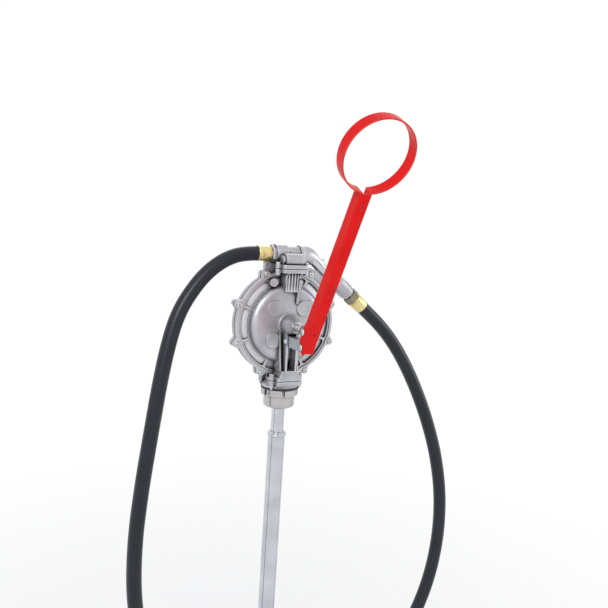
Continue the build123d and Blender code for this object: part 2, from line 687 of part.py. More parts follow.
def manifold_web():
    """The upright web over the rim, which reaches under the spout on one side and the nut on the other."""
    slope = math.radians(SPOUT_SLOPE)
    under = SPOUT_TUBE_RADIUS + WEB_CLEARANCE
    corner_x = SPOUT_CORNER - under * math.sin(slope)
    corner_z = MANIFOLD_AXIS - under * math.cos(slope)
    tube_line = []
    for along in (ELBOW_SPOUT_SIDE + TONGUE_LENGTH, ELBOW_SPOUT_SIDE + WEB_REACH):
        tube_line.append((corner_x + along * math.cos(slope), corner_z - along * math.sin(slope)))
    elbow_low = MANIFOLD_AXIS - ELBOW_RADIUS - WEB_CLEARANCE
    top_line = [(WEB_START, WEB_LOW), (WEB_START, elbow_low), (MANIFOLD_RIGHT + BOSS_FLARE, elbow_low)]
    right = top_line + tube_line + [(tube_line[1][0], WEB_LOW)]
    nut_low = MANIFOLD_AXIS - OUTLET_NUT_ACROSS / 2 / math.cos(math.pi / 6) - WEB_CLEARANCE
    nut_end = MANIFOLD_LEFT - OUTLET_NUT_LENGTH - WEB_CLEARANCE
    ferrule_low = MANIFOLD_AXIS - FERRULE_RADIUS - WEB_CLEARANCE
    left = [(-WEB_START, WEB_LOW), (-WEB_START, nut_low), (nut_end, nut_low), (nut_end, ferrule_low)]
    left += [(-TAB_END, ferrule_low), (-TAB_END, WEB_LOW)]
    half = WEB_THICKNESS / 2
    web = forward_prism(right, -half, half) + forward_prism(left, -half, half)
    web -= forward_disc(RIM_RADIUS + WEB_CLEARANCE, -half - 1, half + 1)
    web -= ears(-half - 1, half + 1, -WEB_CLEARANCE)
    slot = SlotOverall(TAB_SLOT_HEIGHT, TAB_SLOT_WIDTH, rotation=90)
    slot = Plane.XZ.offset(-half - 1) * Pos(-TAB_SLOT_PLACE, ferrule_low - TAB_SLOT_HEIGHT * 2 / 3) * slot
    return web - extrude(slot, WEB_THICKNESS + 2)


def outlet_manifold():
    """The top casting: plate, two capped valve barrels, bolt bosses, middle web and outlet pipe."""
    shape = port_plate(1) + manifold_web()
    for front in (-1, 1):
        shape += bolt_bosses(PORT_FACE + PORT_GASKET, PLATE_TOP + TOP_BOSS_RISE, front)
        shape += boss_ears(PORT_FACE + PORT_GASKET, PLATE_TOP, front)
    for radius, start, end in (
        (MANIFOLD_RADIUS, MANIFOLD_LEFT, MANIFOLD_RIGHT),
        (LEFT_COLLAR_RADIUS, MANIFOLD_LEFT, LEFT_COLLAR_END),
        (ELBOW_RADIUS, RIGHT_COLLAR_START, MANIFOLD_RIGHT),
    ):
        middle = (start + end) / 2
        shape += Pos(middle, 0, MANIFOLD_AXIS) * Rot(0, 90, 0) * Cylinder(radius, end - start)
    half = BARREL_HALF_LENGTH
    barrel = Rot(0, 90, 0) * Cylinder(BARREL_RADIUS, 2 * half)
    barrel += Rot(0, 90, 0) * Cylinder(BARREL_CAP_RADIUS, 2 * (half + BARREL_CAP_LENGTH))
    for side in (-1, 1):
        shape += Pos(0, side * BARREL_DEPTH, BARREL_HEIGHT) * barrel
        y_low, y_high = sorted((0, side * BARREL_DEPTH))
        shape += block(-half, half, y_low, y_high, PLATE_TOP - JOIN, BARREL_HEIGHT + BARREL_RADIUS / 2)
    return shape


def outlet_elbow():
    """The cast elbow that turns down and narrows to the socket where the spout is parked."""
    corner = Vector(SPOUT_CORNER, 0, MANIFOLD_AXIS)
    slope = math.radians(SPOUT_SLOPE)
    end = corner + Vector(math.cos(slope), 0, -math.sin(slope)) * ELBOW_SPOUT_SIDE
    start = Vector(MANIFOLD_RIGHT, 0, MANIFOLD_AXIS)
    path = FilletPolyline(start, corner, end, radius=ELBOW_BEND)
    sections = []
    for part in (0.0, 0.25, 0.5, 0.75, 1.0):
        radius = ELBOW_RADIUS + (ELBOW_MOUTH_RADIUS - ELBOW_RADIUS) * part**1.5
        sections.append(Plane(origin=path @ part, z_dir=path % part) * Circle(radius))
    elbow = loft(sections)
    bore = Cylinder(SPOUT_TUBE_RADIUS + RUNNING_GAP, 2 * SPOUT_SOCKET_DEPTH)
    elbow -= SPOUT_AXIS * Pos(0, 0, ELBOW_SPOUT_SIDE) * bore
    return elbow + SPOUT_AXIS * Pos(0, 0, ELBOW_SPOUT_SIDE) * elbow_tongue()


def elbow_tongue():
    """The thin tongue over the spout's tube, with a raised tip, drawn along the spout's axis."""
    tongue = Pos(0, 0, TONGUE_LENGTH / 2 - JOIN) * Cylinder(TONGUE_RADIUS, TONGUE_LENGTH + 2 * JOIN)
    tip_middle = (SPOUT_TUBE_RADIUS + TONGUE_TIP) / 2
    tip = Box(TONGUE_TIP - SPOUT_TUBE_RADIUS, TONGUE_TIP_WIDTH, TONGUE_TIP_WIDTH / 2)
    tongue += Pos(-tip_middle, 0, TONGUE_LENGTH - TONGUE_TIP_WIDTH / 4) * tip
    tongue -= Cylinder(SPOUT_TUBE_RADIUS + RUNNING_GAP, 3 * TONGUE_LENGTH)
    keep = Box(TONGUE_TIP, 2 * TONGUE_RADIUS, 2 * TONGUE_LENGTH)
    return tongue & Pos(-TONGUE_TIP / 2 - PIPE_WALL, 0, TONGUE_LENGTH / 2) * keep


def spout_tube():
    """The plain tube of the spout, standing in the elbow's socket."""
    low = ELBOW_SPOUT_SIDE - SPOUT_SOCKET_DEPTH
    length = SPOUT_SOCKET_DEPTH + SPOUT_TUBE_SHOWN
    tube = Cylinder(SPOUT_TUBE_RADIUS, length) - Cylinder(SPOUT_TUBE_RADIUS - SPOUT_TUBE_WALL, length + 2)
    return SPOUT_AXIS * Pos(0, 0, low + length / 2) * tube


def spout_fitting():
    """The round fitting on the spout's tube, domed towards the collar."""
    start = ELBOW_SPOUT_SIDE + SPOUT_TUBE_SHOWN
    end = start + FITTING_LENGTH
    outline = Polyline(
        (FITTING_END_RADIUS, 0, end),
        (0, 0, end),
        (0, 0, start),
        (SPOUT_TUBE_RADIUS + 2, 0, start),
        (FITTING_RADIUS, 0, start + 6),
        (FITTING_RADIUS, 0, end - FITTING_DOME),
    )
    dome = TangentArc((FITTING_RADIUS, 0, end - FITTING_DOME), (FITTING_END_RADIUS, 0, end), tangent=(0, 0, 1))
    return SPOUT_AXIS * revolve(make_face(outline + dome), Axis.Z)


def spout_collar():
    """The six-sided collar that joins the fitting to its ferrule."""
    start = ELBOW_SPOUT_SIDE + SPOUT_TUBE_SHOWN + FITTING_LENGTH
    return SPOUT_AXIS * Pos(0, 0, start) * hexagon(COLLAR_ACROSS, COLLAR_LENGTH)


def ferrule():
    """A brass ferrule standing on the XY plane, with the hose's socket in its top."""
    sleeve = Pos(0, 0, FERRULE_LENGTH / 2) * Cylinder(FERRULE_RADIUS, FERRULE_LENGTH)
    return sleeve - Pos(0, 0, FERRULE_LENGTH) * Cylinder(HOSE_RADIUS, 2 * FERRULE_GRIP)


def spout_ferrule():
    """The brass ferrule on the hose's spout end."""
    return SPOUT_AXIS * Pos(0, 0, SPOUT_FERRULE_END - FERRULE_LENGTH) * ferrule()


def outlet_nut():
    """The six-sided nut between the manifold and the outlet ferrule."""
    nut = Rot(0, -90, 0) * hexagon(OUTLET_NUT_ACROSS, OUTLET_NUT_LENGTH)
    return Pos(MANIFOLD_LEFT, 0, MANIFOLD_AXIS) * nut


def outlet_ferrule():
    """The brass ferrule on the hose's outlet end."""
    start = MANIFOLD_LEFT - OUTLET_NUT_LENGTH
    return Pos(start, 0, MANIFOLD_AXIS) * Rot(0, -90, 0) * ferrule()


def inlet_casting():
    """The bottom casting: plate, bolt bosses and the bowl that narrows to the bung gasket."""
    shape = port_plate(-1)
    for front in (-1, 1):
        shape += bolt_bosses(-PLATE_TOP - BOTTOM_BOSS_RISE, -PORT_FACE - PORT_GASKET, front)
        shape += boss_ears(-PLATE_TOP, -PORT_FACE - PORT_GASKET, front)
    plate = Pos(0, 0, -PLATE_TOP) * RectangleRounded(2 * PORT_FLANGE_HALF_WIDTH, 2 * PORT_DEPTH, 5)
    ring = Pos(0, 0, GASKET_TOP) * Circle(BOWL_RADIUS)
    return shape + loft([plate, ring])


def bung_gasket():
    """The black ring between the inlet casting and the bung's hand ring."""
    ring = Cylinder(BUNG_GASKET_RADIUS, BUNG_GASKET_THICKNESS)
    ring -= Cylinder(BUNG_SPIGOT_RADIUS, 2 * BUNG_GASKET_THICKNESS)
    return Pos(0, 0, GASKET_LOW + BUNG_GASKET_THICKNESS / 2) * ring


def bung_adapter():
    """The bung: a notched hand ring on the tank and a collar that goes down into its opening."""
    collar = Pos(0, 0, SEAT_Z - BUNG_LENGTH / 2) * Cylinder(BUNG_RADIUS, BUNG_LENGTH)
    collar = fillet(collar.edges().sort_by(Axis.Z)[0], BUNG_EDGE)
    ring = Pos(0, 0, SEAT_Z + HAND_RING_HEIGHT / 2) * Cylinder(HAND_RING_RADIUS, HAND_RING_HEIGHT)
    notch = Box(2 * HAND_RING_NOTCH_DEPTH, HAND_RING_NOTCH, HAND_RING_HEIGHT + 2)
    for pad in range(HAND_RING_PADS):
        turn = HAND_RING_TURN + 360 * pad / HAND_RING_PADS
        ring -= Rot(0, 0, turn) * Pos(HAND_RING_RADIUS, 0, SEAT_Z + HAND_RING_HEIGHT / 2) * notch
    collar += ring
    spigot = Cylinder(BUNG_SPIGOT_RADIUS - RUNNING_GAP, BUNG_GASKET_THICKNESS)
    collar += Pos(0, 0, GASKET_LOW + BUNG_GASKET_THICKNESS / 2) * spigot
    socket = Cylinder(PIPE_RADIUS, PIPE_GRIP)
    return collar - Pos(0, 0, SEAT_Z - BUNG_LENGTH + PIPE_GRIP / 2) * socket


def suction_pipe():
    """The upper suction pipe, held in the bung adapter."""
    top = SEAT_Z - BUNG_LENGTH + PIPE_GRIP
    tube = Cylinder(PIPE_RADIUS, PIPE_LENGTH) - Cylinder(PIPE_RADIUS - PIPE_WALL, PIPE_LENGTH + 2)
    return Pos(0, 0, top - PIPE_LENGTH / 2) * tube


def lower_tube():
    """The wider telescoping tube round the suction pipe."""
    inner = LOWER_TUBE_RADIUS - LOWER_TUBE_WALL
    top = -LOWER_TUBE_TOP
    tube = Cylinder(LOWER_TUBE_RADIUS, LOWER_TUBE_LENGTH) - Cylinder(inner, LOWER_TUBE_LENGTH + 2)
    return Pos(0, 0, top - LOWER_TUBE_LENGTH / 2) * tube


def tube_nut():
    """The rounded bell that holds the lower tube on the suction pipe."""
    top = -LOWER_TUBE_TOP + TUBE_NUT_HEIGHT
    bore = PIPE_RADIUS + RUNNING_GAP
    low = -LOWER_TUBE_TOP
    return turned_upright(
        [
            (bore, low),
            (TUBE_NUT_RADIUS - 1.5, low),
            (TUBE_NUT_RADIUS, low + 3),
            (TUBE_NUT_RADIUS, low + 6),
            (bore + 2, top),
            (bore, top),
        ]
    )


def suction_foot():
    """The slotted foot at the bottom of the lower tube."""
    top = -LOWER_TUBE_TOP - LOWER_TUBE_LENGTH
    foot = Cylinder(FOOT_RADIUS, FOOT_LENGTH) - Pos(0, 0, -3) * Cylinder(FOOT_RADIUS - 3, FOOT_LENGTH)
    foot -= Cylinder(LOWER_TUBE_RADIUS - LOWER_TUBE_WALL, FOOT_LENGTH + 2)
    for turn in (0, 60, 120):
        foot -= Rot(0, 0, turn) * Pos(0, 0, -FOOT_LENGTH / 2) * Box(2 * FOOT_RADIUS + 2, 8, 20)
    return Pos(0, 0, top - FOOT_LENGTH / 2) * foot


def hose_path():
    """The hose's centre line: straight runs joined by the largest arcs that fit them."""
    slope = math.radians(SPOUT_SLOPE)
    corner = Vector(SPOUT_CORNER, 0, MANIFOLD_AXIS)
    last = corner + Vector(math.cos(slope), 0, -math.sin(slope)) * (SPOUT_FERRULE_END - FERRULE_GRIP)
    mouth = MANIFOLD_LEFT - OUTLET_NUT_LENGTH - FERRULE_LENGTH
    first = Vector(mouth + FERRULE_GRIP, 0, MANIFOLD_AXIS)
    points = [first] + [Vector(*point) for point in HOSE_ROUTE] + [last]
    radii = []
    for before, here, after in zip(points, points[1:], points[2:]):
        turn = math.radians((here - before).get_angle(after - here))
        shorter = min((here - before).length, (after - here).length)
        radii.append(0.45 * shorter / math.tan(turn / 2))
    print("hose arc radii", [round(radius) for radius in radii])
    return FilletPolyline(*points, radius=radii)


def hose():
    """The rubber delivery hose, hanging in one loop between its two ferrules."""
    path = hose_path()
    section = Plane(origin=path @ 0, z_dir=path % 0) * Circle(HOSE_RADIUS)
    tube = sweep(section, path)
    expected = math.pi * HOSE_RADIUS**2 * path.length
    print(f"hose length {path.length:.1f} mm, volume share {tube.volume / expected:.4f}")
    return tube


def main():
    os.makedirs(PARTS, exist_ok=True)
    half_pack = DIAPHRAGM_THICKNESS
    save("front_cover", front_cover())
    save("rear_cover", rear_cover())
    save("front_diaphragm", diaphragm(0, half_pack))
    save("rear_diaphragm", diaphragm(-half_pack, 0))
    save("shaft_gland", shaft_gland())
    save("bracket_pin", bracket_pin())
    save("outlet_manifold", outlet_manifold())
    save("outlet_elbow", outlet_elbow())
    save("outlet_nut", outlet_nut())
    save("outlet_ferrule", outlet_ferrule())
    save("inlet_casting", inlet_casting())
    for name, side, front in (
        ("top_front_gasket", 1, -1),
        ("top_rear_gasket", 1, 1),
        ("bottom_front_gasket", -1, -1),
        ("bottom_rear_gasket", -1, 1),
    ):
        save(name, port_gasket(side, front))
    save("bung_gasket", bung_gasket())
    save("bung_adapter", bung_adapter())
    save("suction_pipe", suction_pipe())
    save("tube_nut", tube_nut())
    save("lower_tube", lower_tube())
    save("suction_foot", suction_foot())
    save("spout_tube", spout_tube())
    save("spout_fitting", spout_fitting())
    save("spout_collar", spout_collar())
    save("spout_ferrule", spout_ferrule())
    save("hose", hose())
    save("rod", rod())
    save("rod_nut", rod_nut())
    save("lever_channel", lever_channel())
    save("lever_grip", lever_grip())
    save("upper_pin", lever_pin(-SHAFT_PIN_DEPTH, 0))
    save("lower_pin", lever_pin(FULCRUM_Y, FULCRUM_Z))
    save("link", link())


main()
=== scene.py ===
# %% [markdown]
# # A hand-worked double diaphragm pump
#
# The object is a lever pump that stands on the filling opening of a drum. Two round cast covers
# clamp a pair of rubber diaphragms, a rod passes through the front cover, and a red channel lever
# with a ring for the hand pushes the rod through a short link. A black hose leaves the top
# casting on the left, hangs in one loop, and comes back to a spout that is parked on the right.
#
# The measured solids come in as a fixed frame, in metres, with +Z up. This notebook adds the
# camera, the light, the hose's smooth line, the finishes, and the small pieces that the solids
# leave out, such as screws, nuts, studs and the crimped ferrules.

# %% Load the frame
import json
import math

import bpy
import bmesh
from mathutils import Matrix, Vector


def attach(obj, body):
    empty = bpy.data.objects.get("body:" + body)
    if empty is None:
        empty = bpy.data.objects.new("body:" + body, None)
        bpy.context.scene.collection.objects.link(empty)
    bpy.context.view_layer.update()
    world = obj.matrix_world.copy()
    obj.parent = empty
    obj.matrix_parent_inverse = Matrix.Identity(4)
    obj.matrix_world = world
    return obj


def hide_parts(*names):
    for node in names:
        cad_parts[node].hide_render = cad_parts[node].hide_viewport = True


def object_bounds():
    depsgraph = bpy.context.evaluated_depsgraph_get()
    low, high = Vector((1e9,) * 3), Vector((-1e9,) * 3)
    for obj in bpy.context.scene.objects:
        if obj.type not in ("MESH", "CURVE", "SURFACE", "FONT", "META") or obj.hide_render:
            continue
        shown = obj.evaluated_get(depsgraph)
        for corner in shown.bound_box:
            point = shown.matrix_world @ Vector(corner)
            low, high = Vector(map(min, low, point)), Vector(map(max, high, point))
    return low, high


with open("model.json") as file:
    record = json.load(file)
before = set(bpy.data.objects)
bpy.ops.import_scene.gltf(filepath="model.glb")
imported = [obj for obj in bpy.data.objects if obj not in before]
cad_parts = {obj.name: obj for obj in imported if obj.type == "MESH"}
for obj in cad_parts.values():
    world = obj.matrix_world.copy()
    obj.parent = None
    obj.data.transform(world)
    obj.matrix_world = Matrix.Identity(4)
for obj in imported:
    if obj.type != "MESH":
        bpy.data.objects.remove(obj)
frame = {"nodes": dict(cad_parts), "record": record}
cad_low, cad_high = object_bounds()
nodes = frame["nodes"]
print("CAD box", tuple(round(v, 4) for v in cad_low), tuple(round(v, 4) for v in cad_high))

# %% [markdown]
# ## The camera
#
# The photograph was taken from the pump's left and a little above the rod. The camera is placed
# from those angles directly: its back direction comes from azimuth and elevation, and a roll turns
# the picture, because the photographed pump leans a little.

# %% Camera
SEAT_TO_ROD = 0.137
CAMERA_AZIMUTH = -27.33
CAMERA_ELEVATION = 7.21
CAMERA_ROLL = 3.67
CAMERA_PLACE = Vector((-0.53184, -1.10971, 0.19354 + SEAT_TO_ROD))
CAMERA_LENS = 38.74
SENSOR_WIDTH = 36
NEAREST, FARTHEST = 0.05, 30


def camera_axes(azimuth, elevation, roll):
    """The camera's right, up and back directions."""
    a, e, r = (math.radians(v) for v in (azimuth, elevation, roll))
    back = Vector((math.sin(a) * math.cos(e), -math.cos(a) * math.cos(e), math.sin(e)))
    level_right = Vector((math.cos(a), math.sin(a), 0))
    level_up = back.cross(level_right)
    right = level_right * math.cos(r) + level_up * math.sin(r)
    up = level_up * math.cos(r) - level_right * math.sin(r)
    return right, up, back


camera_data = bpy.data.cameras.new("camera")
camera_data.lens = CAMERA_LENS
camera_data.sensor_width = SENSOR_WIDTH
camera_data.clip_start, camera_data.clip_end = NEAREST, FARTHEST
camera = bpy.data.objects.new("camera", camera_data)
bpy.context.scene.collection.objects.link(camera)
right, up, back = camera_axes(CAMERA_AZIMUTH, CAMERA_ELEVATION, CAMERA_ROLL)
turn = Matrix((right, up, back)).transposed().to_4x4()
camera.matrix_world = Matrix.Translation(CAMERA_PLACE) @ turn
bpy.context.scene.camera = camera
print("camera at", tuple(round(v, 3) for v in camera.location))

# %% [markdown]
# ## The hose
#
# A rubber delivery hose is stiff enough to swing out in a wide loop before its weight takes over.
# One NURBS spline of order 3 gives that smooth line: its control points are the corners of the
# route that the solid follows, and the curve rounds each of them by itself. On the left, where the
# real hose turns down a little sooner, a few of them are moved inwards. Both of its ends sit in the
# brass ferrules.

# %% Hose line
MM = 0.001
HOSE_DIAMETER = 0.027
HOSE_ORDER = 3
HOSE_STEPS_ALONG, HOSE_STEPS_ROUND = 12, 12
HOSE_ROUTE = [
    (-40.0, 0.0, 130.0),
    (-84.1, 0.0, 130.0),
    (-122.5, -0.2, 117.8),
    (-157.5, -1.3, 91.8),
    (-185.5, -3.3, 57.0),
    (-207.5, -6.1, 19.3),
    (-222.7, -9.9, -29.4),
    (-236.4, -14.7, -94.7),
    (-249.7, -19.6, -180.5),
    (-264.7, -22.0, -286.2),
    (-273.9, -22.0, -388.4),
    (-272.1, -22.0, -494.4),
    (-252.1, -22.0, -598.8),
    (-208.1, -22.0, -696.9),
    (-138.5, -22.0, -778.5),
    (-46.1, -22.0, -834.4),
    (59.8, -22.0, -855.9),
    (166.5, -22.0, -840.0),
    (262.0, -22.0, -789.2),
    (336.3, -22.0, -710.9),
    (384.4, -22.0, -614.6),
    (406.0, -22.0, -509.2),
    (403.6, -22.0, -401.9),
    (383.3, -19.6, -305.4),
    (356.8, -14.7, -228.5),
    (329.5, -9.9, -166.9),
    (303.5, -6.1, -118.0),
    (279.3, -3.3, -79.0),
    (253.0, -1.3, -43.9),
    (224.5, -0.2, -13.5),
    (194.3, 0.0, 12.4),
    (154.9, 0.0, 42.9),
]


def hose_curve(name, route, radius):
    """A round tube on one NURBS spline through the neighbourhood of the route's corners."""
    data = bpy.data.curves.new(name, "CURVE")
    data.dimensions = "3D"
    data.resolution_u = HOSE_STEPS_ALONG
    data.bevel_depth = 1.0
    data.bevel_resolution = HOSE_STEPS_ROUND
    data.use_fill_caps = True
    spline = data.splines.new("NURBS")
    spline.points.add(len(route) - 1)
    for point, (x, y, z) in zip(spline.points, route):
        point.co = (x * MM, y * MM, z * MM + SEAT_TO_ROD, 1)
        point.radius = radius
    spline.order_u = HOSE_ORDER
    spline.use_endpoint_u = True
    piece = bpy.data.objects.new(name, data)
    bpy.context.scene.collection.objects.link(piece)
    return piece


hose = hose_curve("delivery_hose", HOSE_ROUTE, HOSE_DIAMETER / 2)
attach(hose, "pump_body")
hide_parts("hose")
print("hose with", len(HOSE_ROUTE), "control points")

# %% [markdown]
# ## Shader helpers
#
# Materials, the floor and the world are all node trees. A few small functions keep the cells that
# build them short: they make an empty material, add a node with its settings, link two sockets,
# turn a keyword into a socket's name, and tell which kind of ray is asking.

# %% Helpers for node trees


def new_material(name):
    """A material with an empty node tree."""
    made = bpy.data.materials.new(name)
    made.use_nodes = True
    made.node_tree.nodes.clear()
    return made, made.node_tree


def add(tree, kind, **settings):
    """A new node, with its properties set and its named inputs filled from 'values'."""
    made = tree.nodes.new(kind)
    values = settings.pop("values", {})
    for label, value in settings.items():
        setattr(made, label, value)
    for label, value in values.items():
        made.inputs[label].default_value = value
    return made


def join(tree, source, target):
    """Link an output socket to an input socket."""
    tree.links.new(source, target)


def socket_name(keyword):
    """The name of a socket, such as 'Head Radius' from head_radius."""
    return keyword.replace("_", " ").title()


def rays_seen(tree, *labels):
    """One value that is 1 for any of the named kinds of ray."""
    path = add(tree, "ShaderNodeLightPath")
    total = path.outputs[labels[0]]
    for label in labels[1:]:
        either = add(tree, "ShaderNodeMath", operation="MAXIMUM")
        join(tree, total, either.inputs[0])
        join(tree, path.outputs[label], either.inputs[1])
        total = either.outputs[0]
    return total


print("helpers ready")

# %% [markdown]
# ## Floor and studio
#
# The photograph is a cut-out on white. The floor lies under the lowest point of the hose. Close to
# the pump it is a pale matt floor that takes a soft shadow, and further out it fades into plain
# white, so no horizon shows. The world is white for the camera, and metal shows that white too.
# Everything else is lit by a softer, slightly cool sky and by three lamps.

# %% Floor
FLOOR_GAP = 0.002
FLOOR_SIZE = 24.0
FLOOR_TONE = (0.9, 0.9, 0.9, 1)
WHITE = (1, 1, 1, 1)
WHITE_RAYS = ("Is Camera Ray", "Is Glossy Ray", "Is Transmission Ray")
SHADOW_NEAR, SHADOW_FAR = 0.5, 1.9
WHITE_SHARE_NEAR, WHITE_SHARE_FAR = 0.62, 1.0
half = FLOOR_SIZE / 2
low = cad_low.z - FLOOR_GAP
floor_mesh = bpy.data.meshes.new("floor")
corners = [(-half, -half, low), (half, -half, low), (half, half, low), (-half, half, low)]
floor_mesh.from_pydata(corners, [], [(0, 1, 2, 3)])
floor = bpy.data.objects.new("floor", floor_mesh)
bpy.context.scene.collection.objects.link(floor)

floor_paint, tree = new_material("studio floor")
paint = add(tree, "ShaderNodeBsdfDiffuse", values={"Color": FLOOR_TONE})
glow = add(tree, "ShaderNodeEmission", values={"Color": WHITE, "Strength": 1.0})
place = add(tree, "ShaderNodeTexCoord")
reach = add(tree, "ShaderNodeVectorMath", operation="LENGTH")
fade = add(tree, "ShaderNodeMapRange", interpolation_type="SMOOTHSTEP",
           values={"From Min": SHADOW_NEAR, "From Max": SHADOW_FAR,
                   "To Min": WHITE_SHARE_NEAR, "To Max": WHITE_SHARE_FAR})
seen = rays_seen(tree, *WHITE_RAYS)
share = add(tree, "ShaderNodeMath", operation="MULTIPLY")
blend = add(tree, "ShaderNodeMixShader")
end = add(tree, "ShaderNodeOutputMaterial")
join(tree, place.outputs["Object"], reach.inputs[0])
join(tree, reach.outputs["Value"], fade.inputs["Value"])
join(tree, seen, share.inputs[0])
join(tree, fade.outputs["Result"], share.inputs[1])
join(tree, share.outputs[0], blend.inputs[0])
join(tree, paint.outputs[0], blend.inputs[1])
join(tree, glow.outputs[0], blend.inputs[2])
join(tree, blend.outputs[0], end.inputs["Surface"])
floor.data.materials.append(floor_paint)
print("floor at", round(low, 4))

# %% World
SKY_COLOUR = (0.93, 0.95, 1.0, 1)
SKY_STRENGTH = 0.62
world = bpy.data.worlds.new("studio")
bpy.context.scene.world = world
world.use_nodes = True
tree = world.node_tree
tree.nodes.clear()
soft = add(tree, "ShaderNodeBackground", values={"Color": SKY_COLOUR, "Strength": SKY_STRENGTH})
white = add(tree, "ShaderNodeBackground", values={"Color": WHITE, "Strength": 1.0})
blend = add(tree, "ShaderNodeMixShader")
end = add(tree, "ShaderNodeOutputWorld")
join(tree, rays_seen(tree, *WHITE_RAYS), blend.inputs[0])
join(tree, soft.outputs[0], blend.inputs[1])
join(tree, white.outputs[0], blend.inputs[2])
join(tree, blend.outputs[0], end.inputs["Surface"])
print("world ready")

# %% Lamps
TARGET = Vector((0, 0, SEAT_TO_ROD))


def area_lamp(name, place, size, power):
    """A soft square lamp that faces the pump."""
    data = bpy.data.lights.new(name, "AREA")
    data.shape = "SQUARE"
    data.size = size
    data.energy = power
    lamp = bpy.data.objects.new(name, data)
    lamp.location = place
    lamp.rotation_euler = (TARGET - Vector(place)).to_track_quat("-Z", "Y").to_euler()
    bpy.context.scene.collection.objects.link(lamp)


area_lamp("key", (-1.6, -2.0, 1.4), 1.1, 25)
area_lamp("fill", (2.3, -0.9, 0.6), 1.3, 12)
area_lamp("rim", (0.9, 2.2, 1.8), 1.4, 10)
bpy.context.scene.view_settings.view_transform = "Standard"
print("three lamps")

# %% [markdown]
# ## What the finishes share
#
# Most of the pump is tumbled cast alloy: a soft grey metal with fine grain, edges painted lighter
# as wear with a painted highlight, and corners painted darker as painted shade with some grime.
# Steel, brass, paint and rubber show the same three things in other amounts, so one node group
# works them out and each finish decides what to do with them. Ambient occlusion finds the corners,
# the same node looking inwards finds the edges, and a Bevel node rounds the light on edges that the
# solids keep sharp.

# %% Surface group
CORNER_RANGE = (0.88, 0.38)
EDGE_RANGE = (0.95, 0.45)
CORNER_SAMPLES, EDGE_SAMPLES, ROUND_SAMPLES = 8, 6, 4


def noise(tree, vector, scale, detail, rough):
    """The value of a noise texture, with sockets for its vector and its scale."""
    made = add(tree, "ShaderNodeTexNoise", values={"Detail": detail, "Roughness": rough})
    join(tree, vector, made.inputs["Vector"])
    join(tree, scale, made.inputs["Scale"])
    return made.outputs["Fac"]


def mask_from(tree, socket, low, high):
    """A 0 to 1 mask from a value that runs from low to high."""
    made = add(tree, "ShaderNodeMapRange", values={"From Min": low, "From Max": high})
    join(tree, socket, made.inputs["Value"])
    return made.outputs["Result"]


def surface_group():
    """Grain height, mottling, a corner mask for painted shade with grime, an edge mask for wear with a
    painted highlight, and a rounded normal.
    """
    made = bpy.data.node_groups.new("wear, grime and painted light", "ShaderNodeTree")
    face = made.interface
    sizes = (("Grain Scale", 900.0), ("Wave Scale", 60.0), ("Grain Share", 0.5), ("Mottle Scale", 22.0),
             ("Corner Reach", 0.014), ("Edge Reach", 0.0016), ("Edge Round", 0.0008))
    for label, value in sizes:
        face.new_socket(label, in_out="INPUT", socket_type="NodeSocketFloat").default_value = value
    for label in ("Height", "Mottle", "Corner", "Edge"):
        face.new_socket(label, in_out="OUTPUT", socket_type="NodeSocketFloat")
    face.new_socket("Normal", in_out="OUTPUT", socket_type="NodeSocketVector")
    start = add(made, "NodeGroupInput")
    stop = add(made, "NodeGroupOutput")
    place = add(made, "ShaderNodeTexCoord").outputs["Object"]
    fine = noise(made, place, start.outputs["Grain Scale"], 3, 0.6)
    wave = noise(made, place, start.outputs["Wave Scale"], 2, 0.5)
    cloud = noise(made, place, start.outputs["Mottle Scale"], 4, 0.6)
    blend = add(made, "ShaderNodeMix")
    join(made, start.outputs["Grain Share"], blend.inputs["Factor"])
    join(made, wave, blend.inputs["A"])
    join(made, fine, blend.inputs["B"])
    # The corner mask from ambient occlusion is used to paint shade, with some grime, into the corners.
    corner = add(made, "ShaderNodeAmbientOcclusion", samples=CORNER_SAMPLES)
    join(made, start.outputs["Corner Reach"], corner.inputs["Distance"])
    # The edge mask is used to paint edges lighter, as wear with a painted highlight.
    edge = add(made, "ShaderNodeAmbientOcclusion", samples=EDGE_SAMPLES, inside=True, only_local=True)
    join(made, start.outputs["Edge Reach"], edge.inputs["Distance"])
    rounded = add(made, "ShaderNodeBevel", samples=ROUND_SAMPLES)
    join(made, start.outputs["Edge Round"], rounded.inputs["Radius"])
    join(made, blend.outputs["Result"], stop.inputs["Height"])
    join(made, cloud, stop.inputs["Mottle"])
    join(made, mask_from(made, corner.outputs["AO"], *CORNER_RANGE), stop.inputs["Corner"])
    join(made, mask_from(made, edge.outputs["AO"], *EDGE_RANGE), stop.inputs["Edge"])
    join(made, rounded.outputs["Normal"], stop.inputs["Normal"])
    return made


SURFACE = surface_group()
print("surface group with", len(SURFACE.nodes), "nodes")

# %% [markdown]
# ## Finishes
#
# A finish is a Principled BSDF whose colour runs between a dark and a light tone with the mottling,
# turns darker in the corners, as painted shade with some grime, and lighter on the edges, as wear
# with a painted highlight. Its gloss follows the same masks, and its bump is the grain on top of the
# rounded normal.

# %% Finishes
MIX_FACTOR, MIX_FIRST, MIX_SECOND, MIX_COLOUR = 0, 6, 7, 2
MOTTLE_DARK, MOTTLE_LIGHT = 0.3, 0.7
GRIME_ROUGHNESS = 0.25
GRAIN_DEPTH = 0.0004


def tint(tree, base, factor, colour, share):
    """Mix a colour over another by a mask, up to a share."""
    part = add(tree, "ShaderNodeMath", operation="MULTIPLY")
    part.inputs[1].default_value = share
    join(tree, factor, part.inputs[0])
    made = add(tree, "ShaderNodeMix", data_type="RGBA")
    made.inputs[MIX_SECOND].default_value = (*colour, 1)
    join(tree, part.outputs[0], made.inputs[MIX_FACTOR])
    join(tree, base, made.inputs[MIX_FIRST])
    return made.outputs[MIX_COLOUR]


def shifted(tree, value, mask, amount):
    """A value plus an amount times a mask."""
    made = add(tree, "ShaderNodeMath", operation="MULTIPLY_ADD")
    made.inputs[1].default_value = amount
    join(tree, mask, made.inputs[0])
    join(tree, value, made.inputs[2])
    return made.outputs[0]


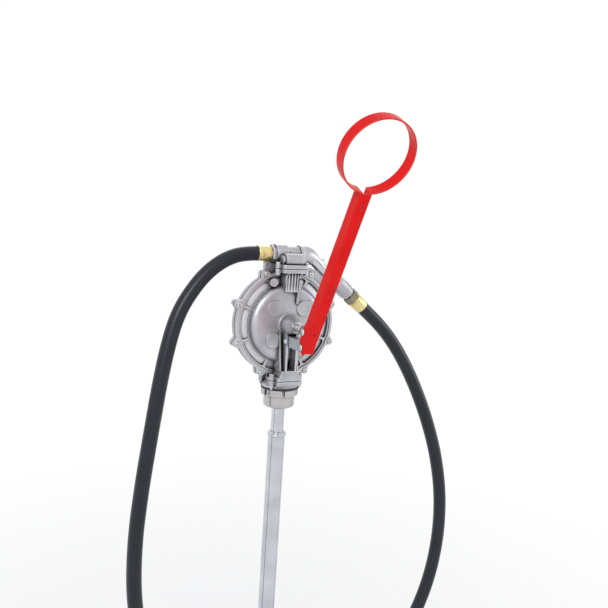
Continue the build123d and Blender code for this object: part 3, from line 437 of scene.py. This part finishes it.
def finish(name, dark, light, metallic, rough, bump, shade_and_grime=(0.02, 0.02, 0.018), shade_and_grime_share=0.0,
           wear_and_highlight=(0.8, 0.8, 0.8), wear_and_highlight_share=0.0, specular=0.5, rough_swing=0.1, **sizes):
    """A finish whose colour and gloss follow the surface group."""
    made, tree = new_material(name)
    skin = add(tree, "ShaderNodeBsdfPrincipled",
               values={"Metallic": metallic, "Specular IOR Level": specular})
    end = add(tree, "ShaderNodeOutputMaterial")
    group = add(tree, "ShaderNodeGroup", node_tree=SURFACE)
    for keyword, value in sizes.items():
        group.inputs[socket_name(keyword)].default_value = value
    tone = add(tree, "ShaderNodeValToRGB")
    shades = ((MOTTLE_DARK, dark), (MOTTLE_LIGHT, light))
    for element, (position, shade) in zip(tone.color_ramp.elements, shades):
        element.position, element.color = position, (*shade, 1)
    join(tree, group.outputs["Mottle"], tone.inputs["Fac"])
    # Edges take the worn colour: wear with a painted highlight.
    colour = tint(tree, tone.outputs["Color"], group.outputs["Edge"], wear_and_highlight, wear_and_highlight_share)
    # Corners take the grime colour: painted shade with some grime.
    colour = tint(tree, colour, group.outputs["Corner"], shade_and_grime, shade_and_grime_share)
    join(tree, colour, skin.inputs["Base Color"])
    gloss = add(tree, "ShaderNodeMapRange",
                values={"From Min": MOTTLE_DARK, "From Max": MOTTLE_LIGHT,
                        "To Min": rough + rough_swing / 2, "To Max": rough - rough_swing / 2})
    join(tree, group.outputs["Mottle"], gloss.inputs["Value"])
    grimy = GRIME_ROUGHNESS * shade_and_grime_share
    rougher = shifted(tree, gloss.outputs["Result"], group.outputs["Corner"], grimy)
    join(tree, rougher, skin.inputs["Roughness"])
    relief = add(tree, "ShaderNodeBump", values={"Strength": bump, "Distance": GRAIN_DEPTH})
    join(tree, group.outputs["Height"], relief.inputs["Height"])
    join(tree, group.outputs["Normal"], relief.inputs["Normal"])
    join(tree, relief.outputs["Normal"], skin.inputs["Normal"])
    join(tree, skin.outputs[0], end.inputs["Surface"])
    return made


# Each grime colour is painted shade in the corners with some grime; each worn colour is a painted edge
# highlight with some wear.
FINISHES = {
    "cast_alloy": finish("tumbled cast alloy", (0.39, 0.39, 0.42), (0.56, 0.56, 0.60), 0.78, 0.37, 0.14,
                         shade_and_grime=(0.030, 0.030, 0.024), shade_and_grime_share=1.0,
                         wear_and_highlight=(0.80, 0.80, 0.84), wear_and_highlight_share=0.8, edge_reach=0.0028, corner_reach=0.012),
    "diaphragm_rubber": finish("diaphragm rubber", (0.02, 0.02, 0.02), (0.05, 0.05, 0.05), 0, 0.6, 0.2),
    "gasket_rubber": finish("gasket rubber", (0.010, 0.010, 0.010), (0.022, 0.022, 0.022), 0, 0.5, 0.2,
                            wear_and_highlight=(0.10, 0.10, 0.10), wear_and_highlight_share=0.5),
    "bright_steel": finish("bright turned steel", (0.55, 0.56, 0.58), (0.72, 0.73, 0.75), 1, 0.32, 0.06,
                           shade_and_grime_share=0.6, grain_scale=500),
    "pin_steel": finish("zinc plated pins", (0.55, 0.62, 0.64), (0.72, 0.80, 0.82), 1, 0.3, 0.1,
                        shade_and_grime_share=0.4, grain_scale=400),
    "plated_steel": finish("bright plated steel", (0.50, 0.52, 0.56), (0.64, 0.66, 0.70), 1, 0.10, 0.03,
                           shade_and_grime_share=0.3, rough_swing=0.04, grain_scale=300),
    "link_steel": finish("grey link", (0.48, 0.52, 0.54), (0.60, 0.65, 0.67), 0.5, 0.4, 0.15,
                         shade_and_grime_share=0.7, wear_and_highlight=(0.7, 0.7, 0.7), wear_and_highlight_share=0.5),
    "brass": finish("rolled brass", (0.60, 0.43, 0.13), (0.76, 0.60, 0.25), 1, 0.3, 0.03,
                    shade_and_grime=(0.12, 0.07, 0.01), shade_and_grime_share=0.6, wear_and_highlight=(1.0, 0.9, 0.55), wear_and_highlight_share=0.4,
                    grain_scale=300, grain_share=0.2),
    "dull_brass": finish("dull brass", (0.20, 0.19, 0.13), (0.33, 0.31, 0.22), 0.85, 0.42, 0.15,
                         shade_and_grime_share=0.6, wear_and_highlight=(0.6, 0.58, 0.42), wear_and_highlight_share=0.4),
    "bung_alloy": finish("cast bung", (0.42, 0.41, 0.41), (0.58, 0.57, 0.57), 0.97, 0.20, 0.06,
                         shade_and_grime=(0.035, 0.035, 0.028), shade_and_grime_share=0.95,
                         wear_and_highlight=(0.9, 0.88, 0.88), wear_and_highlight_share=0.7),
    "foot_plastic": finish("foot plastic", (0.015, 0.015, 0.015), (0.03, 0.03, 0.03), 0, 0.5, 0.2),
    "hose_rubber": finish("hose rubber", (0.004, 0.007, 0.014), (0.008, 0.012, 0.022), 0, 0.34, 0.08,
                          specular=0.42),
    "lever_paint": finish("red powder coat", (0.80, 0.006, 0.006), (0.88, 0.010, 0.009), 0, 0.34, 0.08,
                          shade_and_grime=(0.25, 0.003, 0.003), shade_and_grime_share=0.5, wear_and_highlight=(1.0, 0.14, 0.10), wear_and_highlight_share=0.8,
                          grain_scale=700, wave_scale=250, grain_share=0.3, specular=0.12, edge_reach=0.0011),
}
print(len(FINISHES), "finishes")

# %% Dress the solids


def dress(piece, name):
    """Give a piece its finish in place of whatever it has."""
    piece.data.materials.clear()
    piece.data.materials.append(FINISHES[name])


for part in frame["record"]["subparts"]:
    dress(nodes[part["node"]], part["material_slot"])
dress(hose, "hose_rubber")
print("dressed", len(nodes), "nodes")

# %% [markdown]
# ## Screws, nuts and studs
#
# Eight screws with nuts clamp the covers through their lugs, four bolts hold the top casting and
# four nuts the bottom one. Every one of them is the same few steps of extruding and scaling a round
# or six-sided face, so one Geometry Nodes tree makes them all: its core sinks into a socket for a
# screw and stands up as the end of a stud for a nut. The points on which they stand are the only
# mesh that each piece starts from.

# %% Tree for the fasteners
FULL_TURN = 6.283
MOST_SOCKET = 3
SPIN_SEED = 11
WELD_DISTANCE = 0.000001
CHAMFER_SCALE = 0.86
CORE_STEP = 0.00001
CIRCLE_SIDES = 32


def new_tree(name, inputs):
    """A geometry tree with a geometry socket and named inputs."""
    made = bpy.data.node_groups.new(name, "GeometryNodeTree")
    made.interface.new_socket("Geometry", in_out="INPUT", socket_type="NodeSocketGeometry")
    made.interface.new_socket("Geometry", in_out="OUTPUT", socket_type="NodeSocketGeometry")
    for label, kind, value in inputs:
        socket = made.interface.new_socket(label, in_out="INPUT", socket_type=kind)
        if value is not None:
            socket.default_value = value
    return made, add(made, "NodeGroupInput"), add(made, "NodeGroupOutput")


def grown(tree, mesh, selection, distance, scale=None):
    """Extrude the selected faces by a distance, then scale the new top, and return mesh and top."""
    made = add(tree, "GeometryNodeExtrudeMesh", mode="FACES", values={"Individual": False})
    join(tree, mesh, made.inputs["Mesh"])
    if selection is not None:
        join(tree, selection, made.inputs["Selection"])
    if isinstance(distance, float):
        made.inputs["Offset Scale"].default_value = distance
    else:
        join(tree, distance, made.inputs["Offset Scale"])
    if scale is None:
        return made.outputs["Mesh"], made.outputs["Top"]
    resized = add(tree, "GeometryNodeScaleElements", domain="FACE")
    join(tree, made.outputs["Mesh"], resized.inputs["Geometry"])
    join(tree, made.outputs["Top"], resized.inputs["Selection"])
    if isinstance(scale, float):
        resized.inputs["Scale"].default_value = scale
    else:
        join(tree, scale, resized.inputs["Scale"])
    return resized.outputs["Geometry"], made.outputs["Top"]


def closed_below(tree, base, mesh):
    """Close a grown mesh with its own first face, turned over, and weld the two together."""
    flipped = add(tree, "GeometryNodeFlipFaces")
    both = add(tree, "GeometryNodeJoinGeometry")
    welded = add(tree, "GeometryNodeMergeByDistance", values={"Distance": WELD_DISTANCE})
    join(tree, base, flipped.inputs["Mesh"])
    join(tree, flipped.outputs["Mesh"], both.inputs["Geometry"])
    join(tree, mesh, both.inputs["Geometry"])
    join(tree, both.outputs["Geometry"], welded.inputs["Geometry"])
    return welded.outputs["Geometry"]


def placed_on_points(tree, start, stop, shape):
    """Put a shape on every point with its own spin, then make it real and give it its material."""
    spin = add(tree, "FunctionNodeRandomValue", data_type="FLOAT",
               values={MOST_SOCKET: FULL_TURN, "Seed": SPIN_SEED})
    turn_z = add(tree, "ShaderNodeCombineXYZ")
    put = add(tree, "GeometryNodeInstanceOnPoints")
    turned = add(tree, "GeometryNodeRotateInstances")
    real = add(tree, "GeometryNodeRealizeInstances")
    paint = add(tree, "GeometryNodeSetMaterial")
    join(tree, start.outputs["Geometry"], put.inputs["Points"])
    join(tree, shape, put.inputs["Instance"])
    join(tree, start.outputs["Facing"], put.inputs["Rotation"])
    join(tree, spin.outputs[1], turn_z.inputs["Z"])
    join(tree, put.outputs["Instances"], turned.inputs["Instances"])
    join(tree, turn_z.outputs[0], turned.inputs["Rotation"])
    join(tree, turned.outputs["Instances"], real.inputs["Geometry"])
    join(tree, real.outputs["Geometry"], paint.inputs["Geometry"])
    join(tree, start.outputs["Finish"], paint.inputs["Material"])
    join(tree, paint.outputs["Geometry"], stop.inputs["Geometry"])


FASTENER_INPUTS = [
    ("Facing", "NodeSocketRotation", None),
    ("Finish", "NodeSocketMaterial", None),
    ("Sides", "NodeSocketInt", CIRCLE_SIDES),
    ("Head Radius", "NodeSocketFloat", 0.0044),
    ("Head Height", "NodeSocketFloat", 0.0024),
    ("Chamfer", "NodeSocketFloat", 0.0005),
    ("Core Share", "NodeSocketFloat", 0.5),
    ("Core Height", "NodeSocketFloat", -0.0014),
    ("Washer Radius", "NodeSocketFloat", 0.0052),
    ("Washer Height", "NodeSocketFloat", 0.0006),
]


def fastener_tree():
    """A head or nut on a washer, with a sunk socket or a standing stud in its middle."""
    tree, start, stop = new_tree("fastener", FASTENER_INPUTS)
    washer = add(tree, "GeometryNodeMeshCircle", fill_type="NGON", values={"Vertices": CIRCLE_SIDES})
    join(tree, start.outputs["Washer Radius"], washer.inputs["Radius"])
    disc, _ = grown(tree, washer.outputs["Mesh"], None, start.outputs["Washer Height"])
    head = add(tree, "GeometryNodeMeshCircle", fill_type="NGON")
    join(tree, start.outputs["Sides"], head.inputs["Vertices"])
    join(tree, start.outputs["Head Radius"], head.inputs["Radius"])
    mesh, top = grown(tree, head.outputs["Mesh"], None, start.outputs["Head Height"])
    mesh, top = grown(tree, mesh, top, start.outputs["Chamfer"], CHAMFER_SCALE)
    mesh, top = grown(tree, mesh, top, CORE_STEP, start.outputs["Core Share"])
    mesh, _ = grown(tree, mesh, top, start.outputs["Core Height"])
    both = add(tree, "GeometryNodeJoinGeometry")
    join(tree, closed_below(tree, washer.outputs["Mesh"], disc), both.inputs["Geometry"])
    join(tree, closed_below(tree, head.outputs["Mesh"], mesh), both.inputs["Geometry"])
    placed_on_points(tree, start, stop, both.outputs["Geometry"])
    return tree


FASTENER = fastener_tree()
print("fastener tree with", len(FASTENER.nodes), "nodes")

# %% Put the fasteners on


def made_by_tree(name, start_mesh, tree, values):
    """Run a geometry tree on a start mesh and keep what it makes as a plain piece at the origin."""
    holder = bpy.data.objects.new(start_mesh.name, start_mesh)
    bpy.context.scene.collection.objects.link(holder)
    modifier = holder.modifiers.new(tree.name, "NODES")
    modifier.node_group = tree
    for item in tree.interface.items_tree:
        if item.in_out == "INPUT" and item.name in values:
            modifier[item.identifier] = values[item.name]
    depsgraph = bpy.context.evaluated_depsgraph_get()
    mesh = bpy.data.meshes.new_from_object(holder.evaluated_get(depsgraph))
    made = bpy.data.objects.new(name, mesh)
    bpy.context.scene.collection.objects.link(made)
    bpy.data.objects.remove(holder)
    return made


def fasteners(name, spots, facing, slot, **sizes):
    """One piece with a fastener on every spot, all facing one way."""
    points = bpy.data.meshes.new(name + "_spots")
    points.from_pydata([(x * MM, y * MM, z * MM + SEAT_TO_ROD) for x, y, z in spots], [], [])
    values = {"Facing": [math.radians(v) for v in facing], "Finish": FINISHES[slot]}
    values.update({socket_name(keyword): value for keyword, value in sizes.items()})
    made = made_by_tree(name, points, FASTENER, values)
    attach(made, "pump_body")
    print(name, len(spots), "pieces,", len(made.data.polygons), "faces")


LUG_CIRCLE = 103.5
LUG_ANGLES = [20.9, 63.65, 116.35, 159.1, 200.9, 243.65, 296.35, 339.1]
LUG_FACE = 12.5
PORT_BOLT_X, PORT_BOLT_Y = 28.6, 24.5
TOP_BOSS, BOTTOM_BOSS = 113.5, -116.5


def lug_spots(depth):
    """A point on the face of each lug, in front of or behind the joint."""
    angles = [math.radians(angle) for angle in LUG_ANGLES]
    return [(LUG_CIRCLE * math.cos(a), depth, LUG_CIRCLE * math.sin(a)) for a in angles]


def port_spots(height):
    """A point on each of the four bolt bosses of a port."""
    return [(x, y, height) for x in (-PORT_BOLT_X, PORT_BOLT_X) for y in (-PORT_BOLT_Y, PORT_BOLT_Y)]


fasteners("lug_screws", lug_spots(-LUG_FACE), (90, 0, 0), "bright_steel")
fasteners("lug_nuts", lug_spots(LUG_FACE), (-90, 0, 0), "bright_steel",
          sides=6, head_radius=0.0048, head_height=0.0034, core_share=0.55, core_height=0.0022)
fasteners("outlet_bolts", port_spots(TOP_BOSS), (0, 0, 0), "bright_steel",
          head_radius=0.0043, head_height=0.0028, washer_radius=0.0049)
fasteners("inlet_nuts", port_spots(BOTTOM_BOSS), (180, 0, 0), "bright_steel",
          sides=6, head_radius=0.0048, head_height=0.0030, core_share=0.6, core_height=0.0032,
          washer_radius=0.0049)

# %% [markdown]
# ## Turned pieces
#
# The ferrules are thin brass sleeves, crimped round the hose, and the pins have domed heads. All of
# them are turned shapes. A small lathe function joins rings of points along an axis, which gives
# clean quads, closed ends and sharp control over each lip and groove.

# %% Lathe
LATHE_STEPS = 64
SHARP_ANGLE = math.radians(35)


def lathe(bm, outline, start, axis):
    """Turn an outline of (along, radius) pairs about an axis.

    A radius of 0 becomes a single point, and an outline that ends where it began is a closed ring.
    """
    axis = axis.normalized()
    side = axis.orthogonal().normalized()
    other = axis.cross(side)
    rings = []
    points = outline[:-1] if outline[0] == outline[-1] else outline
    for along, radius in points:
        middle = start + axis * along * MM
        if radius == 0:
            rings.append([bm.verts.new(middle)])
            continue
        ring = []
        for step in range(LATHE_STEPS):
            angle = 2 * math.pi * step / LATHE_STEPS
            outwards = side * math.cos(angle) + other * math.sin(angle)
            ring.append(bm.verts.new(middle + outwards * radius * MM))
        rings.append(ring)
    if len(points) < len(outline):
        rings.append(rings[0])
    for lower, upper in zip(rings, rings[1:]):
        for step in range(LATHE_STEPS):
            after = (step + 1) % LATHE_STEPS
            if len(lower) == 1:
                bm.faces.new((lower[0], upper[step], upper[after]))
            elif len(upper) == 1:
                bm.faces.new((lower[step], upper[0], lower[after]))
            else:
                bm.faces.new((lower[step], upper[step], upper[after], lower[after]))


def turned_piece(name, body, slot, outline, start, axis, *replaced):
    """A piece turned from one outline, which may stand for a node of the solids."""
    bm = bmesh.new()
    lathe(bm, outline, start, axis)
    bmesh.ops.recalc_face_normals(bm, faces=bm.faces)
    mesh = bpy.data.meshes.new(name)
    bm.to_mesh(mesh)
    bm.free()
    made = bpy.data.objects.new(name, mesh)
    bpy.context.scene.collection.objects.link(made)
    for face in mesh.polygons:
        face.use_smooth = True
    mesh.set_sharp_from_angle(angle=SHARP_ANGLE)
    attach(made, body)
    if replaced:
        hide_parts(*replaced)
    dress(made, slot)
    print(name, len(mesh.polygons), "faces")


# %% Ferrules
FERRULE_OUTLINE = [
    (0, 0), (0, 13.6), (0.5, 14.2), (1.2, 14.45), (3.2, 14.45), (4.0, 14.25), (5.0, 14.2),
    (6.0, 14.4), (7.0, 14.55), (18.5, 14.55), (19.6, 14.45), (20.6, 14.25), (21.8, 14.2),
    (22.8, 14.35), (23.6, 14.6), (25.4, 14.6), (26.1, 14.45), (26.5, 14.1), (26.3, 13.6),
    (25.0, 13.45), (6.0, 13.45), (6.0, 0),
]
MANIFOLD_HEIGHT = 130
OUTLET_FERRULE_X, SPOUT_CORNER_X = -35.5, 43.5
SPOUT_FERRULE_ALONG = 136.9
SPOUT_SLOPE = math.radians(38)
MANIFOLD_LINE = SEAT_TO_ROD + MANIFOLD_HEIGHT * MM
OUTLET_AXIS = Vector((-1, 0, 0))
OUTLET_FERRULE_START = Vector((OUTLET_FERRULE_X * MM, 0, MANIFOLD_LINE))
SPOUT_AXIS = Vector((math.cos(SPOUT_SLOPE), 0, -math.sin(SPOUT_SLOPE)))
SPOUT_CORNER = Vector((SPOUT_CORNER_X * MM, 0, MANIFOLD_LINE))
SPOUT_FERRULE_START = SPOUT_CORNER + SPOUT_AXIS * SPOUT_FERRULE_ALONG * MM
turned_piece("outlet_ferrule_sleeve", "pump_body", "brass",
             FERRULE_OUTLINE, OUTLET_FERRULE_START, OUTLET_AXIS, "outlet_ferrule")
turned_piece("spout_ferrule_sleeve", "pump_body", "brass",
             FERRULE_OUTLINE, SPOUT_FERRULE_START, SPOUT_AXIS, "spout_ferrule")

# %% Pins
PIN_RADIUS = 4.0
PIN_AXIS = Vector((1, 0, 0))
LEVER_PIN_HALF, LEVER_PIN_HEAD = 10.3, 6.4
BRACKET_PIN_HALF, BRACKET_PIN_HEAD = 11.5, 5.4


def pin_outline(half, head_radius):
    """A pin from its middle out to both domed heads."""
    side = [(half, PIN_RADIUS), (half, head_radius - 0.5), (half + 0.3, head_radius - 0.1),
            (half + 0.8, head_radius), (half + 1.6, head_radius * 0.93), (half + 2.4, head_radius * 0.75),
            (half + 2.9, head_radius * 0.5), (half + 3.2, head_radius * 0.22), (half + 3.2, 0)]
    return [(-along, radius) for along, radius in reversed(side)] + side


def pin(name, body, node, half, head_radius, y, z):
    """A pin across the pump that stands for its CAD node."""
    middle = Vector((0, y * MM, z * MM + SEAT_TO_ROD))
    turned_piece(name, body, "pin_steel", pin_outline(half, head_radius), middle, PIN_AXIS, node)


pin("rod_pin", "lever", "upper_pin", LEVER_PIN_HALF, LEVER_PIN_HEAD, -102.8, 0.0)
pin("link_pin", "lever", "lower_pin", LEVER_PIN_HALF, LEVER_PIN_HEAD, -98.298, -28.75)
pin("fixed_pin", "pump_body", "bracket_pin", BRACKET_PIN_HALF, BRACKET_PIN_HEAD, -38.298, -29.42)

# %% [markdown]
# ## Two forms of the casting
#
# The pockets between the covers' ribs have sloping floors on the real pump, deeper towards the
# rim, which is why some of them are bright and others grey. The solids have flat floors, so on each
# cover a turned ring with a sloping face lies over them, under the tops of the ribs. The ribs of
# the valve chest also run out on the dome, so four thin wedges carry them on below the solids' ribs.

# %% Pocket floors and rib tails
POCKET_SLOPE = [(5.3, 90.7), (8.4, 77.9), (5.3, 77.9), (5.3, 90.7)]
RIB_COUNT, RIB_PITCH, RIB_HALF_WIDTH = 4, 6.0, 1.0
CHEST_FACE, RIB_RISE, RIB_ABOVE, RIB_END = 31.0, 2.2, 75.4, 62.5
RIB_SINK, RIB_TIP_RISE = 1, 0.2


def rib_tail_tree():
    """A row of rib tails side by side, each a copy of the one wedge that comes in."""
    tree, start, stop = new_tree("rib tails", [("Finish", "NodeSocketMaterial", None),
                                               ("Count", "NodeSocketInt", RIB_COUNT),
                                               ("Pitch", "NodeSocketVector", (RIB_PITCH * MM, 0, 0))])
    row = add(tree, "GeometryNodeMeshLine")
    put = add(tree, "GeometryNodeInstanceOnPoints")
    real = add(tree, "GeometryNodeRealizeInstances")
    paint = add(tree, "GeometryNodeSetMaterial")
    join(tree, start.outputs["Count"], row.inputs["Count"])
    join(tree, start.outputs["Pitch"], row.inputs["Offset"])
    join(tree, row.outputs["Mesh"], put.inputs["Points"])
    join(tree, start.outputs["Geometry"], put.inputs["Instance"])
    join(tree, put.outputs["Instances"], real.inputs["Geometry"])
    join(tree, real.outputs["Geometry"], paint.inputs["Geometry"])
    join(tree, start.outputs["Finish"], paint.inputs["Material"])
    join(tree, paint.outputs["Geometry"], stop.inputs["Geometry"])
    return tree


def rib_wedge():
    """The leftmost rib tail, a thin wedge that runs out downwards."""
    middle = -(RIB_COUNT - 1) / 2 * RIB_PITCH
    outline = ((CHEST_FACE - RIB_SINK, RIB_END), (CHEST_FACE - RIB_SINK, RIB_ABOVE),
               (CHEST_FACE + RIB_RISE, RIB_ABOVE), (CHEST_FACE + RIB_TIP_RISE, RIB_END))
    points = [((middle + x) * MM, -depth * MM, z * MM + SEAT_TO_ROD)
              for x in (-RIB_HALF_WIDTH, RIB_HALF_WIDTH) for depth, z in outline]
    faces = [(3, 2, 1, 0), (4, 5, 6, 7), (1, 5, 4, 0), (2, 6, 5, 1), (3, 7, 6, 2), (0, 4, 7, 3)]
    made = bpy.data.meshes.new("rib_wedge")
    made.from_pydata(points, [], faces)
    return made


for side, name in ((-1, "front_pocket_floors"), (1, "rear_pocket_floors")):
    turned_piece(name, "pump_body", "cast_alloy",
                 POCKET_SLOPE, Vector((0, 0, SEAT_TO_ROD)), Vector((0, side, 0)))

tails = made_by_tree("chest_rib_tails", rib_wedge(), rib_tail_tree(), {"Finish": FINISHES["cast_alloy"]})
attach(tails, "pump_body")
print("chest_rib_tails", len(tails.data.polygons), "faces")
